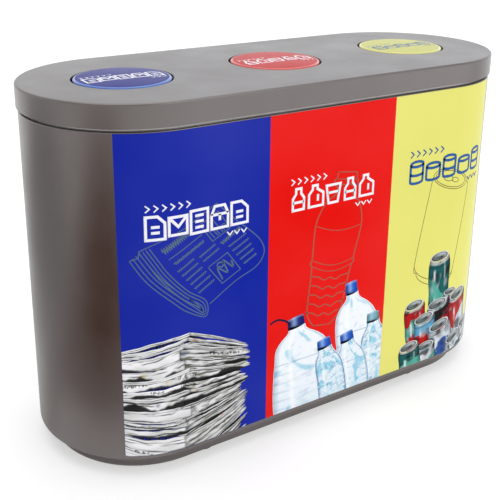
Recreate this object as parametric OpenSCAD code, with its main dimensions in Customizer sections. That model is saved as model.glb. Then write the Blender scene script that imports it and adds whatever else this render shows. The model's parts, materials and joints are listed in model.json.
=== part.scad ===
// Oval three-compartment recycling bin in painted sheet steel.
// Origin: centre of the body's footprint on the floor. +X along the length, -Y is the front, +Z up.

/* [Body] */
// Overall length of the body shell
body_l = 1000; // [900:10:1200]
// Width of the body shell, which is also the diameter of its round ends
body_w = 396; // [390:2:430]
// Height of the lid's top above the floor
total_h = 682; // [620:1:800]
// Thickness of the painted sheet steel
sheet = 1.5; // [1.2:0.1:2]

/* [Plinth] */
// Height of the recessed plinth, feet included
plinth_h = 36; // [30:1:60]
// How far the plinth stands back from the shell
plinth_inset = 25; // [15:1:30]
// Thickness of the rubber feet
foot_h = 3; // [2:0.5:5]

/* [Lid] */
// Height of the lid from the bottom of its skirt to its top
lid_h = 41; // [35:1:60]
// Width of the dark gap between the lid's skirt and the shell
lid_gap = 5.5; // [4:0.5:8]
// How far the lid stands out past the shell all round
lid_overhang = 3; // [2:0.5:5]
// Radius of the lid's top edge
lid_edge_r = 4; // [3:0.5:6]

/* [Openings and flaps] */
// Radius of the round hole in the lid
hole_r = 90; // [80:1:95]
// Distance between neighbouring holes
hole_pitch = 320; // [312:1:330]
// Clear gap between a flap and the edge of its hole
flap_gap = 3.5; // [3:0.5:5]
// How far a flap's flat top stands above the lid
flap_proud = 2.5; // [1:0.5:4]
// Radius of the flap's axle
axle_r = 4; // [3:0.5:5]

/* [Liners] */
// Outer radius of a liner's wall
liner_r = 148; // [130:1:148]
// Wall thickness of a liner
liner_t = 1; // [0.8:0.1:1.5]

/* [Front panels] */
// Width of each of the three printed panels, measured along the surface
panel_w = 280; // [240:5:300]
// Thickness of the printed vinyl
panel_t = 0.4; // [0.3:0.1:1]

/* [Hidden] */
$fn = 128;

paint = "#8e8a86";
galvanised = "#b4b8bb";
zinc = "#c9c9c6";
rubber = "#1c1c1d";
nylon = "#e8e6dc";
blue = "#1c2aa8";
red = "#e8190f";
yellow = "#e8e87c";

// Plan: a straight run of 2 * half_run between two half-round ends of radius end_r
end_r = body_w / 2;
half_run = (body_l - body_w) / 2;
lid_r = end_r + lid_overhang;
lid_bottom = total_h - lid_h;
body_top = lid_bottom - lid_gap;
body_bottom = plinth_h;

// Sheet-metal details of the shell, the neck inside it and the plinth
shell_corner_r = 2;
shell_foot_w = 45;
neck_inset = 7;
neck_foot_w = 12;
neck_bottom = body_top - 35.5;
neck_top = total_h - sheet - 4.5;
seal_gap = 0.5;
seal_top = total_h - sheet - seal_gap;
seal_h = 11;
seal_t = 1.75;
plinth_flange = 45;
pan_t = 2;
pan_z = body_bottom + sheet;
pan_top = pan_z + pan_t;
pan_clearance = 0.5;

// Floor anchors through the base pan
anchor_x = 250;
anchor_y = 100;
anchor_r = 6.5;

// Feet under the plinth's bottom flange
foot_r = 20;
foot_inset = 48;
foot_positions = [
  for (x = [-1, 1], y = [-1, 1]) [x * 250, y * (end_r - foot_inset)],
  for (x = [-1, 1]) [x * (half_run + end_r - foot_inset), 0]
];
foot_screw_r = 2.9;
foot_hole_r = 3;
foot_screw_head_r = 6;
foot_screw_head_h = 4;

// Partitions, locating rings and liners
partition_t = 1.2;
partition_flange = 18;
partition_top = neck_bottom - 10;
locator_r = liner_r + 2;
locator_h = 20;
locator_flange = 8;
liner_top = neck_bottom - 10;
liner_floor = 6;
liner_rim_r = 3.5;
liner_bead_r = 3;
grip_w = 90;
grip_h = 28;
grip_drop = 45;

// Lid details
hem_h = 10;
channel_w = 30;
channel_h = 16;
channel_l = 330;
chute_t = 1.5;
chute_r = hole_r + 1;
chute_bottom = liner_top - 15;
chute_flange = 15;

// Flaps: each turns about an axle along X, just under the lid
flap_r = hole_r - flap_gap;
flap_top = total_h + flap_proud;
flap_edge_r = 4;
flap_rim_h = 8;
flap_t = 1.5;
axle_z = total_h - 12;
label_r = flap_r - flap_edge_r - 0.5;
label_t = 0.3;
running_gap = 0.05;
bush_r = 6;
bush_fit = 0.05;
bush_flange_r = 8;
bush_flange_t = 2;
bush_l = chute_t + 3;
axle_end = chute_r + chute_t + 9;
bracket_x = 45;
bracket_w = 30;
bracket_t = 2;
bracket_foot = 16;
weight_r = 9;
weight_drop = 30;
weight_stud_r = 3;
clip_r = 7;
clip_t = 1.2;
clip_gap = 0.4;

// Hinges at the back, with their axis in the gap under the lid
hinge_x = 200;
hinge_l = 90;
knuckles = 5;
knuckle_gap = 0.4;
knuckle_r = 4.5;
pin_r = 2.5;
pin_head_r = 4;
pin_head_h = 1.5;
hinge_y = lid_r + knuckle_r + 0.5;
hinge_z = lid_bottom - lid_gap / 2;
web_t = 2;
leaf_t = 2;
body_leaf_h = 42;
lid_leaf_h = 32;
lid_leaf_offset = 6.5;
rivet_r = 2;
rivet_hole_r = 2.1;
rivet_head_r = 4;
rivet_head_h = 1.4;
rivet_tail_r = 3.2;
rivet_tail_h = 1;
rivet_rows = [17, 31.5];
rivet_columns = [-32, 0, 32];

side_names = ["left", "center", "right"];
side_colors = [blue, red, yellow];

// ---------- Shared shapes ----------

module stadium(radius) {
  square([2 * half_run, 2 * radius], center = true);
  for (side = [-1, 1])
    translate([side * half_run, 0]) circle(radius);
}

// Sweeps a profile round the plan. The profile's X points outwards from the radius, its Y up.
module stadium_sweep(radius) {
  for (turn = [0, 180])
    rotate(turn) {
      translate([half_run, 0, 0])
        rotate(-90) rotate_extrude(angle = 180) translate([radius, 0]) children();
      translate([half_run, 0, 0])
        rotate([90, 0, -90]) linear_extrude(2 * half_run) translate([radius, 0]) children();
    }
}

// A strip of the front between two distances along the surface, measured from the middle
module front_strip(from, to, thickness, bottom, top) {
  height = top - bottom;
  straight_from = max(from, -half_run);
  straight_to = min(to, half_run);
  translate([straight_from, -end_r - thickness, bottom])
    cube([straight_to - straight_from, thickness, height]);
  if (from < -half_run) end_strip(-1, -half_run - from, thickness, bottom, height);
  if (to > half_run) end_strip(1, to - half_run, thickness, bottom, height);
}

module end_strip(side, arc_length, thickness, bottom, height) {
  angle = arc_length / end_r * 180 / PI;
  translate([side * half_run, 0, bottom])
    rotate(side > 0 ? -90 : -90 - angle)
      rotate_extrude(angle = angle) translate([end_r, 0]) square([thickness, height]);
}

// A quarter of a bent sheet: centre of the bend at the origin, in the first quadrant
module bend(outer_r, thickness) {
  intersection() {
    difference() {
      circle(outer_r);
      circle(outer_r - thickness);
    }
    square(outer_r);
  }
}

module tube(outer_r, inner_r, height) {
  difference() {
    cylinder(r = outer_r, h = height);
    translate([0, 0, -1]) cylinder(r = inner_r, h = height + 2);
  }
}

module at_hole(index) {
  translate([(index - 1) * hole_pitch, 0, 0]) children();
}

module at_hinge(side) {
  translate([side * hinge_x, hinge_y, hinge_z]) children();
}

// A cylinder along +X
module rod(radius, length) {
  rotate([0, 90, 0]) cylinder(r = radius, h = length);
}

// A cylinder along +Y
module rod_y(radius, length) {
  rotate([-90, 0, 0]) cylinder(r = radius, h = length);
}

// ---------- Body ----------

module body_shell() {
  color(paint)
    difference() {
      stadium_sweep(end_r) shell_profile();
      for (side = [-1, 1])
        at_hinge(side) rivet_places(-1)
          translate([0, -hinge_y + end_r - sheet - 1, 0]) rod_y(rivet_hole_r, sheet + 2);
    }
}

module shell_profile() {
  r = shell_corner_r;
  translate([-sheet, body_bottom + r]) square([sheet, body_top - body_bottom - 2 * r]);
  translate([-r, body_top - r]) bend(r, sheet);
  translate([-r, body_bottom + r]) mirror([0, 1]) bend(r, sheet);
  translate([-neck_inset, body_top - sheet]) square([neck_inset - r, sheet]);
  translate([-shell_foot_w, body_bottom]) square([shell_foot_w - r, sheet]);
}

module neck_ring() {
  color(paint)
    stadium_sweep(end_r - neck_inset) {
      translate([-sheet, neck_bottom]) square([sheet, neck_top - neck_bottom]);
      translate([-sheet - neck_foot_w, neck_bottom]) square([neck_foot_w + sheet, sheet]);
    }
}

module rim_seal() {
  color(rubber)
    stadium_sweep(end_r - neck_inset - sheet / 2)
      difference() {
        translate([-sheet / 2 - seal_t, seal_top - seal_h]) square([sheet + 2 * seal_t, seal_h]);
        translate([-sheet / 2, neck_bottom]) square([sheet, neck_top - neck_bottom]);
      }
}

module base_pan() {
  color(galvanised)
    translate([0, 0, pan_z])
      difference() {
        linear_extrude(pan_t) stadium(end_r - sheet - pan_clearance);
        for (x = [-1, 1], y = [-1, 1])
          translate([x * anchor_x, y * anchor_y, -1]) cylinder(r = anchor_r, h = pan_t + 2);
      }
}

module plinth() {
  color(paint)
    difference() {
      stadium_sweep(end_r - plinth_inset) {
        translate([-sheet, foot_h]) square([sheet, plinth_h - foot_h]);
        translate([-plinth_flange, foot_h]) square([plinth_flange, sheet]);
        translate([-plinth_flange, plinth_h - sheet]) square([plinth_flange, sheet]);
      }
      for (place = foot_positions)
        translate([place[0], place[1], foot_h - 1]) cylinder(r = foot_hole_r, h = sheet + 2);
    }
}

module foot_pads() {
  color(rubber)
    for (place = foot_positions)
      translate([place[0], place[1], 0])
        difference() {
          cylinder(r = foot_r, h = foot_h);
          translate([0, 0, 1]) cylinder(r = foot_hole_r, h = foot_h);
        }
}

module foot_screws() {
  color(zinc)
    for (place = foot_positions)
      translate([place[0], place[1], 0]) {
        translate([0, 0, 1]) cylinder(r = foot_screw_r, h = foot_h + sheet - 1);
        translate([0, 0, foot_h + sheet]) cylinder(r = foot_screw_head_r, h = foot_screw_head_h);
      }
}

module partition(side) {
  half_y = end_r - sheet - pan_clearance;
  color(galvanised)
    translate([side * hole_pitch / 2, 0, pan_top]) mirror([side < 0 ? 1 : 0, 0, 0])
      linear_extrude(partition_top - pan_top) {
        square([partition_t, 2 * half_y], center = true);
        for (edge = [-1, 1])
          translate([-partition_t / 2, edge * half_y - (edge > 0 ? partition_t : 0)])
            square([partition_flange, partition_t]);
      }
}

module liner_locator(index) {
  color(galvanised)
    at_hole(index) translate([0, 0, pan_top]) {
      tube(locator_r + sheet, locator_r, locator_h);
      tube(locator_r + locator_flange, locator_r, sheet);
    }
}

module liner(index) {
  color(galvanised)
    at_hole(index)
      difference() {
        rotate_extrude() liner_profile();
        translate([0, 0, liner_top - grip_drop]) grip_slot();
      }
}

// Wall, raised floor, rolled rim and two stiffening beads that stand out of the wall
module liner_profile() {
  wall_h = liner_top - pan_top;
  translate([liner_r - liner_t, pan_top]) square([liner_t, wall_h]);
  translate([0, pan_top + liner_floor]) square([liner_r - liner_t / 2, liner_t]);
  translate([liner_r - liner_t + liner_rim_r, liner_top]) circle(liner_rim_r);
  for (share = [1 / 3, 2 / 3])
    intersection() {
      translate([liner_r - 2 * liner_t, pan_top + share * wall_h]) circle(liner_bead_r);
      translate([liner_r - liner_t / 2, pan_top]) square([liner_bead_r, wall_h]);
    }
}

// A round-ended hand hole through the front and back walls
module grip_slot() {
  run = (grip_w - grip_h) / 2;
  length = 2 * liner_r + 20;
  translate([-run, -length / 2, -grip_h / 2]) cube([2 * run, length, grip_h]);
  for (side = [-1, 1])
    translate([side * run, -length / 2, 0]) rod_y(grip_h / 2, length);
}

module front_panel(index) {
  start = (index - 1.5) * panel_w;
  color(side_colors[index])
    front_strip(start, start + panel_w, panel_t, body_bottom + 7, body_top - shell_corner_r);
}

// ---------- Hinges ----------

// Rivet places of one hinge: below the axis on the body, above it on the lid
module rivet_places(way) {
  for (x = rivet_columns, row = rivet_rows)
    translate([x, 0, way * row]) children();
}

// Knuckles number first, first + 2, ... of one hinge
module knuckle_row(first) {
  pitch = hinge_l / knuckles;
  for (k = [first:2:knuckles - 1])
    translate([-hinge_l / 2 + k * pitch + knuckle_gap / 2, 0, 0]) {
      rod(knuckle_r, pitch - knuckle_gap);
      children();
    }
}

module pin_bore() {
  translate([-hinge_l / 2 - 1, 0, 0]) rod(pin_r + running_gap, hinge_l + 2);
}

module body_hinge_leaf(side) {
  web = hinge_l / knuckles - knuckle_gap;
  back = end_r - hinge_y;
  color(zinc)
    at_hinge(side)
      difference() {
        union() {
          translate([-hinge_l / 2, back, web_t - knuckle_r - body_leaf_h])
            cube([hinge_l, leaf_t, body_leaf_h]);
          knuckle_row(0) translate([0, back, -knuckle_r]) cube([web, -back, web_t]);
        }
        pin_bore();
        rivet_places(-1) translate([0, back - 1, 0]) rod_y(rivet_hole_r, leaf_t + 2);
      }
}

module lid_hinge_leaf(side) {
  web = hinge_l / knuckles - knuckle_gap;
  back = lid_r - hinge_y;
  color(zinc)
    at_hinge(side)
      difference() {
        union() {
          translate([-hinge_l / 2, back, lid_leaf_offset]) cube([hinge_l, leaf_t, lid_leaf_h]);
          knuckle_row(1) translate([0, back, 0]) cube([web, leaf_t, lid_leaf_offset + 1]);
        }
        pin_bore();
        rivet_places(1) translate([0, back - 1, 0]) rod_y(rivet_hole_r, leaf_t + 2);
      }
}

module hinge_pin(side) {
  color(zinc)
    at_hinge(side) {
      translate([-hinge_l / 2 - 0.5, 0, 0]) rod(pin_r, hinge_l + 1);
      for (end = [-1, 1])
        translate([end * (hinge_l / 2 + 0.5) - (end < 0 ? pin_head_h : 0), 0, 0])
          rod(pin_head_r, pin_head_h);
    }
}

// A rivet along +Y, its shank starting inside the sheet at Y = 0
module rivet(grip) {
  rod_y(rivet_r, grip);
  translate([0, grip, 0]) rotate([-90, 0, 0]) cylinder(r1 = rivet_head_r, r2 = rivet_r, h = rivet_head_h);
  translate([0, -rivet_tail_h, 0]) rod_y(rivet_tail_r, rivet_tail_h);
}

module body_hinge_rivets() {
  color(zinc)
    for (side = [-1, 1])
      at_hinge(side) rivet_places(-1)
        translate([0, end_r - sheet - hinge_y, 0]) rivet(sheet + leaf_t);
}

module lid_hinge_rivets() {
  color(zinc)
    for (side = [-1, 1])
      at_hinge(side) rivet_places(1)
        translate([0, lid_r - sheet - hinge_y, 0]) rivet(sheet + leaf_t);
}

// ---------- Lid ----------

module lid_cover() {
  color(paint)
    difference() {
      union() {
        stadium_sweep(lid_r) lid_profile();
        translate([0, 0, total_h - sheet]) linear_extrude(sheet) stadium(lid_r - lid_edge_r);
      }
      for (index = [0:2])
        at_hole(index) translate([0, 0, total_h - sheet - 1]) cylinder(r = hole_r, h = sheet + 2);
      for (side = [-1, 1])
        at_hinge(side) rivet_places(1)
          translate([0, lid_r - hinge_y - sheet - 1, 0]) rod_y(rivet_hole_r, sheet + 2);
    }
}

module lid_profile() {
  translate([-sheet, lid_bottom]) square([sheet, lid_h - lid_edge_r]);
  translate([-2 * sheet, lid_bottom]) square([sheet, hem_h]);
  translate([-lid_edge_r, total_h - lid_edge_r]) bend(lid_edge_r, sheet);
}

// Folded hat channel across the underside, open towards the lid
module lid_channel(side) {
  color(paint)
    translate([side * hole_pitch / 2, channel_l / 2, total_h - sheet - channel_h])
      rotate([90, 0, 0]) linear_extrude(channel_l) {
        translate([-channel_w / 2, 0]) square([channel_w, sheet]);
        for (edge = [-1, 1]) {
          translate([edge * (channel_w - sheet) / 2 - sheet / 2, 0]) square([sheet, channel_h]);
          translate([edge * (channel_w / 2 + 5) - 5, channel_h - sheet]) square([10, sheet]);
        }
      }
}

module chute(index) {
  chute_top = total_h - sheet;
  color(paint)
    at_hole(index)
      difference() {
        union() {
          translate([0, 0, chute_bottom]) cylinder(r = chute_r + chute_t, h = chute_top - chute_bottom);
          translate([0, 0, chute_top - sheet]) cylinder(r = chute_r + chute_flange, h = sheet);
        }
        translate([0, 0, chute_bottom - 1]) cylinder(r = chute_r, h = chute_top - chute_bottom + 2);
        translate([-chute_r - 10, 0, axle_z]) rod(bush_r + bush_fit, 2 * chute_r + 20);
      }
}

// Flanged nylon bushes pressed into the chute wall, flange outside
module axle_bushes(index) {
  color(nylon)
    at_hole(index)
      for (side = [-1, 1])
        translate([0, 0, axle_z]) rotate(side > 0 ? 0 : 180)
          difference() {
            union() {
              translate([chute_r - 1, 0, 0]) rod(bush_r, bush_l);
              translate([chute_r + chute_t + 0.3, 0, 0]) rod(bush_flange_r, bush_flange_t);
            }
            translate([chute_r - 2, 0, 0]) rod(axle_r + running_gap, bush_l + 4);
          }
}

// ---------- Flaps ----------

module flap(index) {
  color(side_colors[index])
    at_hole(index)
      rotate_extrude() {
        translate([0, flap_top - flap_t]) square([flap_r - flap_edge_r, flap_t]);
        translate([flap_r - flap_edge_r, flap_top - flap_edge_r]) bend(flap_edge_r, flap_t);
        translate([flap_r - flap_t, flap_top - flap_rim_h]) square([flap_t, flap_rim_h - flap_edge_r]);
      }
}

module flap_label(index) {
  color(side_colors[index])
    at_hole(index) translate([0, 0, flap_top]) cylinder(r = label_r, h = label_t);
}

module flap_axle(index) {
  color(zinc)
    at_hole(index) translate([-axle_end, 0, axle_z]) rod(axle_r, 2 * axle_end);
}

// Folded brackets under the flap that grip the axle and carry the counterweight
module flap_brackets(index) {
  leg_top = flap_top - flap_t;
  leg_bottom = axle_z - weight_drop - weight_r;
  color(galvanised)
    at_hole(index)
      for (side = [-1, 1])
        rotate(side > 0 ? 0 : 180)
          difference() {
            union() {
              translate([bracket_x, -bracket_w / 2, leg_bottom])
                cube([bracket_t, bracket_w, leg_top - leg_bottom]);
              translate([bracket_x, -bracket_w / 2, leg_top - bracket_t])
                cube([bracket_foot, bracket_w, bracket_t]);
            }
            translate([bracket_x - 1, 0, axle_z]) rod(axle_r + running_gap, bracket_t + 2);
            translate([bracket_x - 1, 0, axle_z - weight_drop]) rod(weight_stud_r, bracket_t + 2);
          }
}

// Round steel bar with a reduced stud through each bracket
module flap_weight(index) {
  color(zinc)
    at_hole(index) translate([0, 0, axle_z - weight_drop]) {
      translate([-bracket_x, 0, 0]) rod(weight_r, 2 * bracket_x);
      translate([-bracket_x - bracket_t - 2, 0, 0]) rod(weight_stud_r, 2 * (bracket_x + bracket_t + 2));
    }
}

// Push-on clips at both ends of the axle, just outside the bushes
module axle_clips(index) {
  start = chute_r + chute_t + 0.3 + bush_flange_t + clip_gap;
  color(zinc)
    at_hole(index)
      for (side = [-1, 1])
        translate([0, 0, axle_z]) rotate(side > 0 ? 0 : 180)
          translate([start, 0, 0]) difference() {
            rod(clip_r, clip_t);
            translate([-1, 0, 0]) rod(axle_r, clip_t + 2);
          }
}

body_shell();
neck_ring();
rim_seal();
base_pan();
plinth();
foot_pads();
foot_screws();
partition(-1);  // partition_left
partition(1);  // partition_right
body_hinge_leaf(-1);  // body_hinge_leaf_left
body_hinge_leaf(1);  // body_hinge_leaf_right
hinge_pin(-1);  // hinge_pin_left
hinge_pin(1);  // hinge_pin_right
body_hinge_rivets();
lid_cover();
lid_channel(-1);  // lid_channel_left
lid_channel(1);  // lid_channel_right
lid_hinge_leaf(-1);  // lid_hinge_leaf_left
lid_hinge_leaf(1);  // lid_hinge_leaf_right
lid_hinge_rivets();
for (i = [0:2]) {
  liner_locator(i);
  liner(i);
  front_panel(i);
  chute(i);
  axle_bushes(i);
  flap(i);
  flap_label(i);
  flap_axle(i);
  flap_brackets(i);
  flap_weight(i);
  axle_clips(i);
}
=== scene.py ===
"""Looks of the oval three-compartment recycling bin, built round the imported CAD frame."""
import json
import random
from math import ceil, copysign, cos, exp, hypot, pi, radians, sin, sqrt, tan

import bpy
import bmesh
from mathutils import Matrix, Vector, noise


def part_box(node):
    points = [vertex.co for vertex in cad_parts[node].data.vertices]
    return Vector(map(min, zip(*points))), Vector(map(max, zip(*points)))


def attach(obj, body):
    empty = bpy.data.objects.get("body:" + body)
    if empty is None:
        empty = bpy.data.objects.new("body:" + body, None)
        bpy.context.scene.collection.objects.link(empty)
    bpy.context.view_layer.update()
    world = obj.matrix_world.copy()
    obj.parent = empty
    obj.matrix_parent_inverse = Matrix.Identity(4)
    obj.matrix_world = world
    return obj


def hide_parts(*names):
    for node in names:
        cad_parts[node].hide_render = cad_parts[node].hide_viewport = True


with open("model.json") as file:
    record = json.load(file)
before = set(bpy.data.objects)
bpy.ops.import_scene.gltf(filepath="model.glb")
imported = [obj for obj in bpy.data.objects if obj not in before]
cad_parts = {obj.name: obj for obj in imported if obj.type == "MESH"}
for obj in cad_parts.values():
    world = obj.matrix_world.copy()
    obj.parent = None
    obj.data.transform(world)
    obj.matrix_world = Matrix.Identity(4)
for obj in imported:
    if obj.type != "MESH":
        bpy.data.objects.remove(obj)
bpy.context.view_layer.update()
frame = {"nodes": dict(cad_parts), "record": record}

# ---- Places, from the frame ----

MM = 0.001
SIDES = ("left", "center", "right")
shell_lo, shell_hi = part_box("body_shell")
lid_lo, lid_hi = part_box("lid_cover")
plinth_lo, plinth_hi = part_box("plinth")
panel_lo, panel_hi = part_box("front_panel_center")

END_R = round(shell_hi.y, 4)
LID_R = round(-lid_lo.y, 4)
HALF_RUN = round(lid_hi.x, 4) - LID_R
SHELL_TOP = shell_hi.z
SHELL_BOTTOM = shell_lo.z
LID_TOP = lid_hi.z
LID_BOTTOM = lid_lo.z
PANEL_W = panel_hi.x - panel_lo.x
PANEL_BOTTOM = panel_lo.z
PANEL_TOP = panel_hi.z
PANEL_T = 0.4 * MM
SHEET = 1.5 * MM
FLANGE = 45 * MM
FLAP_GAP = 3.5 * MM
FLAP_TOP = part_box("flap_center")[1].z
FLAP_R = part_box("flap_center")[1].x
HOLE_R = round(FLAP_R, 4) + FLAP_GAP
HOLE_X = {s: sum(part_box("flap_axle_" + s)[k].x for k in (0, 1)) / 2 for s in SIDES}
LABEL_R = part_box("flap_label_center")[1].x
LABEL_T = 0.25 * MM
FLAP_CROWN = 1.2 * MM
PANEL_CENTRE = {s: (k - 1) * PANEL_W for k, s in enumerate(SIDES)}


def per_side(*values):
    return dict(zip(SIDES, values))


WORDS = per_side("blue", "red", "yellow")


# ---- Colours ----

def linear(r, g, b):
    """A printed or painted colour given as 0 to 255, as scene-linear values."""
    def one(c):
        c = max(c, 0) / 255
        return c / 12.92 if c <= 0.04045 else ((c + 0.055) / 1.055) ** 2.4
    return (one(r), one(g), one(b))


def grey(level):
    return (level, level, level)


def mix(a, b, share):
    """Colour a with this share of colour b."""
    share = min(max(share, 0.0), 1.0)
    return tuple(x + (y - x) * share for x, y in zip(a, b))


def layered(colour, *layers):
    """The colour under a stack of (colour, share) layers."""
    for over, share in layers:
        colour = mix(colour, over, share)
    return colour


def bell(x, centre, width):
    """1 at the centre, about a third at the width, and then falling to 0."""
    return exp(-((x - centre) / width) ** 2)


WHITE = linear(238, 238, 246)
PANEL_COLOURS = per_side(linear(6, 32, 157), linear(228, 8, 0), linear(226, 224, 117))
FLAP_COLOURS = per_side(linear(30, 96, 190), linear(206, 40, 28), linear(214, 212, 110))
LABEL_COLOURS = per_side(linear(6, 18, 120), linear(180, 12, 6), linear(188, 188, 98))
MARK_COLOURS = per_side(WHITE, WHITE, linear(44, 92, 156))
LINE_COLOURS = per_side(linear(84, 106, 132), linear(158, 92, 76), linear(104, 102, 58))


# ---- Materials ----

class Nodes:
    """Adds and links the shader nodes of a material or a world."""

    def __init__(self, name, world=False):
        self.material = (bpy.data.worlds if world else bpy.data.materials).new(name)
        self.material.use_nodes = True
        self.tree = self.material.node_tree
        self.shader = self.tree.nodes["Background" if world else "Principled BSDF"]
        self.coords = self.add("ShaderNodeTexCoord").outputs["Generated" if world else "Object"]

    def feed(self, socket, value):
        """Links another socket in, or sets the socket's own value."""
        if isinstance(value, bpy.types.NodeSocket):
            self.tree.links.new(value, socket)
        else:
            socket.default_value = value

    def add(self, kind, **inputs):
        node = self.tree.nodes.new(kind)
        for key, value in inputs.items():
            self.feed(node.inputs[key.replace("_", " ")], value)
        return node

    def set(self, **values):
        for key, value in values.items():
            self.feed(self.shader.inputs[key.replace("_", " ")], value)

    def noise(self, scale, detail=4.0, roughness=0.5, stretch=None):
        where = self.coords
        if stretch:
            where = self.add("ShaderNodeMapping", Vector=where, Scale=stretch).outputs["Vector"]
        node = self.add("ShaderNodeTexNoise", Vector=where, Scale=scale, Detail=detail, Roughness=roughness)
        return node.outputs["Fac"]

    def ramp(self, source, stops):
        node = self.add("ShaderNodeValToRGB", Fac=source)
        for element, (position, colour) in zip(node.color_ramp.elements, stops):
            element.position = position
            element.color = (*colour, 1.0)
        return node.outputs["Color"]

    def mottled(self, scale, detail, one, other, edge=0.3):
        """Two colours mixed by noise."""
        return self.ramp(self.noise(scale, detail), [(edge, one), (1 - edge, other)])

    def range(self, source, low, high, from_low=0.3, from_high=0.7):
        node = self.add("ShaderNodeMapRange", Value=source, From_Min=from_low, From_Max=from_high,
                        To_Min=low, To_Max=high)
        return node.outputs["Result"]

    def blend(self, kind, factor, a, b):
        node = self.tree.nodes.new("ShaderNodeMix")
        node.data_type = "RGBA"
        node.blend_type = kind
        for key, value in (("Factor", factor), ("A", a), ("B", b)):
            self.feed(node.inputs[key], (*value, 1.0) if isinstance(value, tuple) else value)
        return node.outputs["Result"]

    def bump(self, *layers):
        """Stacks (height source, strength, distance in metres) bumps on the shader's normal."""
        last = None
        for source, strength, distance in layers:
            node = self.add("ShaderNodeBump", Height=source, Strength=strength, Distance=distance)
            if last:
                self.feed(node.inputs["Normal"], last)
            last = node.outputs["Normal"]
        self.set(Normal=last)

    def colour(self, source):
        self.set(Base_Color=source)

    def roughness(self, source):
        self.set(Roughness=source)


def paint_material():
    """Satin metallic powder coat that mirrors softly, with fine flake and a painted highlight on its sharpest
    edges.
    """
    m = Nodes("satin_metallic_taupe_paint")
    m.set(Metallic=0.94, Coat_Weight=0.06, Coat_Roughness=0.2, Coat_IOR=1.5)
    base, dark = linear(118, 113, 112), linear(112, 107, 105)
    broad = m.mottled(3.0, 3.0, dark, base)
    flake = m.mottled(1500.0, 2.0, grey(0.86), (1.10, 1.10, 1.09), 0.35)
    grain = m.blend("MULTIPLY", 0.6, broad, flake)
    edge = m.tree.nodes.new("ShaderNodeNewGeometry").outputs["Pointiness"]
    # Painted highlight: the sharpest edges, found by pointiness, are mixed towards a light grey.
    edge_highlight = m.range(edge, 0.0, 0.75, 0.52, 0.60)
    m.colour(m.blend("MIX", edge_highlight, grain, linear(186, 184, 182)))
    m.roughness(m.range(m.noise(9.0, 5.0, 0.6), 0.27, 0.36))
    m.bump((m.noise(420.0, 2.0), 0.06, 0.0003), (m.noise(2.2, 1.0), 0.10, 0.004))
    return m.material


def galvanised_material():
    """Hot-dip zinc with soft spangle and a brushed direction down the wall."""
    m = Nodes("galvanised_sheet")
    m.set(Metallic=0.85, Specular_IOR_Level=0.5)
    cells = m.add("ShaderNodeTexVoronoi", Vector=m.coords, Scale=70.0)
    spangle = m.ramp(cells.outputs["Distance"], [(0.0, linear(150, 156, 160)), (0.8, linear(190, 194, 197))])
    down_the_wall = (1.0, 1.0, 0.06)
    streak = m.ramp(m.noise(60.0, 3.0, 0.5, down_the_wall), [(0.3, grey(0.86)), (0.7, grey(1.05))])
    m.colour(m.blend("MULTIPLY", 0.8, spangle, streak))
    m.roughness(m.range(cells.outputs["Distance"], 0.30, 0.46, 0.0, 0.8))
    m.bump((cells.outputs["Distance"], 0.08, 0.0003))
    return m.material


def zinc_material():
    m = Nodes("bright_zinc_plate")
    m.set(Metallic=0.95, Specular_IOR_Level=0.5)
    m.colour(m.mottled(160.0, 4.0, linear(176, 176, 170), linear(206, 206, 200)))
    m.roughness(m.range(m.noise(300.0, 3.0), 0.24, 0.38))
    m.bump((m.noise(900.0, 2.0), 0.08, 0.0001))
    return m.material


def rubber_material():
    m = Nodes("black_rubber")
    m.set(Specular_IOR_Level=0.35)
    m.colour(m.mottled(200.0, 4.0, linear(22, 22, 23), linear(36, 36, 36)))
    m.roughness(m.range(m.noise(240.0, 4.0), 0.62, 0.82))
    m.bump((m.noise(1400.0, 2.0), 0.2, 0.0001))
    return m.material


def nylon_material():
    m = Nodes("natural_nylon")
    m.set(Subsurface_Weight=0.1, Subsurface_Scale=0.002)
    m.colour(m.mottled(90.0, 3.0, linear(222, 219, 204), linear(238, 236, 226)))
    m.roughness(m.range(m.noise(300.0, 3.0), 0.38, 0.52))
    m.bump((m.noise(1100.0, 2.0), 0.1, 0.0001))
    return m.material


VINYL_GLOSS = 0.045
LABEL_GLOSS = 0.03


def vinyl_finish(m, gloss=VINYL_GLOSS):
    """The gloss, faint orange peel and fine scuffs that every printed vinyl shares."""
    m.set(Specular_IOR_Level=gloss)
    m.roughness(m.range(m.noise(26.0, 6.0, 0.7), 0.16, 0.26))
    m.bump((m.noise(260.0, 2.0), 0.05, 0.0002), (m.noise(5.0, 1.0), 0.06, 0.002))


def print_dots(m, low, high):
    """The fine grain of a print, as a factor on its colour."""
    return m.mottled(2400.0, 1.0, grey(low), grey(high), 0.35)


def vinyl_material(name, colour, gloss=VINYL_GLOSS):
    m = Nodes(name)
    light = mix(colour, (1, 1, 1), 0.02)
    deep = tuple(c * 0.94 for c in colour)
    mottle = m.mottled(3.0, 3.0, deep, light)
    m.colour(m.blend("MULTIPLY", 0.6, mottle, print_dots(m, 0.95, 1.03)))
    vinyl_finish(m, gloss)
    return m.material


def ink_material():
    """Printed ink: the picture's own colours with a fine print grain, under the vinyl's gloss."""
    m = Nodes("printed_ink")
    picture = m.tree.nodes.new("ShaderNodeAttribute")
    picture.attribute_name = "ink"
    m.colour(m.blend("MULTIPLY", 0.7, picture.outputs["Color"], print_dots(m, 0.94, 1.04)))
    vinyl_finish(m)
    return m.material


def moulded_material(name, colour):
    """Gloss moulded plastic of the flaps, with hairline scratches."""
    m = Nodes(name)
    m.set(Coat_Weight=0.6, Coat_Roughness=0.05, Coat_IOR=1.5, Specular_IOR_Level=0.5)
    worn = mix(colour, (1, 1, 1), 0.04)
    m.colour(m.mottled(7.0, 3.0, tuple(c * 0.92 for c in colour), worn))
    scratches = m.noise(90.0, 6.0, 0.75, (1.0, 0.08, 1.0))
    m.roughness(m.range(scratches, 0.10, 0.24))
    m.bump((m.noise(700.0, 2.0), 0.03, 0.0001), (scratches, 0.02, 0.0001))
    return m.material


FLOOR_GLOW = 0.46


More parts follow.
